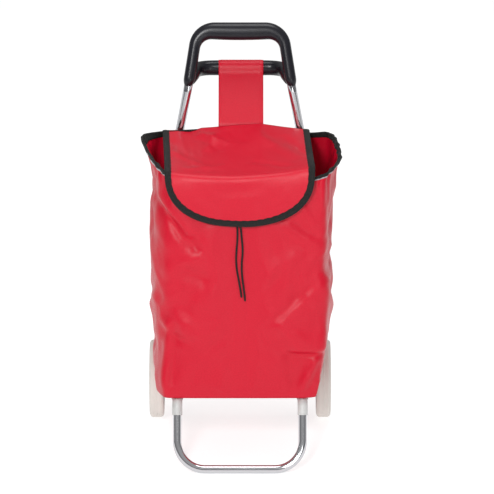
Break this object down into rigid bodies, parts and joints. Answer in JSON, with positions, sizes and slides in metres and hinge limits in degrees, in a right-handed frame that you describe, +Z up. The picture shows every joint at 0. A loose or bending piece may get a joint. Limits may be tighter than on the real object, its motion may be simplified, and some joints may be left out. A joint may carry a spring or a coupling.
{
  "type": "shopping trolley on wheels",
  "caption": "Two-wheeled shopping trolley: a soft bag with a lid flap on a tube frame with a looped handle, a hanging bar and a folding foot.",
  "frame": {"origin": "centre of the footprint box of the trolley without its drawstring ends, on the floor", "axes": "+Z up, -Y towards the front (bag and foot), +Y towards the handle side, +X to the right seen from the front"},
  "size_m": [0.407, 0.4612, 0.8715],
  "materials": {
    "chrome_tube": "polished chrome plating",
    "zinc_steel": "zinc-plated",
    "fastener_steel": "bright steel",
    "grip_plastic": "moulded, semi-gloss with a fine grain",
    "black_plastic": "moulded, satin",
    "grey_plastic": "moulded, satin",
    "hub_plastic": "moulded, satin",
    "tyre_cream": "moulded foam rubber, matt",
    "red_fabric": "coated plain-weave polyester",
    "black_tape": "woven binding tape",
    "reflective_tape": "silver-grey tape",
    "black_cord": "braided cord",
    "board": "hardboard"
  },
  "bodies": {
    "frame": {"cross_brace_lower": "zinc_steel", "cross_brace_upper": "zinc_steel", "brace_rivets": "fastener_steel", "collar_rivets": "fastener_steel", "side_tube_right": "chrome_tube", "side_tube_left": "chrome_tube", "upper_tube_right": "chrome_tube", "upper_tube_left": "chrome_tube", "tube_collars": "black_plastic", "tube_end_plugs": "black_plastic", "axle": "zinc_steel", "axle_bushes": "black_plastic", "wheel_spacers": "black_plastic", "axle_nuts": "zinc_steel", "grip_front_shell": "grip_plastic", "grip_rear_shell": "grip_plastic", "grip_screws": "fastener_steel", "hang_bar": "grip_plastic", "hinge_bracket_right": "zinc_steel", "hinge_bracket_left": "zinc_steel", "fold_pins": "fastener_steel", "bag_front_panel": "red_fabric", "bag_back_panel": "red_fabric", "bag_bottom_panel": "red_fabric", "bag_side_panel_right": "red_fabric", "bag_side_panel_left": "red_fabric", "mouth_binding": "black_tape", "reflective_piping": "reflective_tape", "eyelets": "fastener_steel", "hanging_strap": "red_fabric", "frame_loops": "black_tape", "drawstring_left": "black_cord", "drawstring_right": "black_cord"},
    "wheel_right": {"tyre_right": "tyre_cream", "wheel_hub_right": "hub_plastic", "wheel_cap_right": "hub_plastic"},
    "wheel_left": {"tyre_left": "tyre_cream", "wheel_hub_left": "hub_plastic", "wheel_cap_left": "hub_plastic"},
    "platform": {"platform_arm_right": "chrome_tube", "platform_arm_left": "chrome_tube", "foot_elbow_right": "grey_plastic", "foot_elbow_left": "grey_plastic", "elbow_rivets": "fastener_steel", "platform_rods": "zinc_steel", "foot_tube": "chrome_tube", "base_board": "board"},
    "flap": {"flap_panel": "red_fabric", "flap_binding": "black_tape"}
  },
  "joints": [
    {"name": "wheel_right_spin", "type": "hinge", "parent": "frame", "child": "wheel_right", "pos_m": [0.1815, 0.08187, 0.085], "axis": [1, 0, 0], "continuous": true},
    {"name": "wheel_left_spin", "type": "hinge", "parent": "frame", "child": "wheel_left", "pos_m": [-0.1815, 0.08187, 0.085], "axis": [1, 0, 0], "continuous": true},
    {"name": "platform_fold", "type": "hinge", "parent": "frame", "child": "platform", "pos_m": [0, 0.03687, 0.136], "axis": [-1, 0, 0], "range_deg": [0, 95], "deforming": ["bag_front_panel", "bag_back_panel", "bag_bottom_panel", "bag_side_panel_right", "bag_side_panel_left", "mouth_binding", "reflective_piping", "eyelets", "drawstring_left", "drawstring_right"]},
    {"name": "flap_lift", "type": "hinge", "parent": "frame", "child": "flap", "pos_m": [0, 0.11575, 0.658], "axis": [-1, 0, 0], "range_deg": [0, 90]}
  ]
}
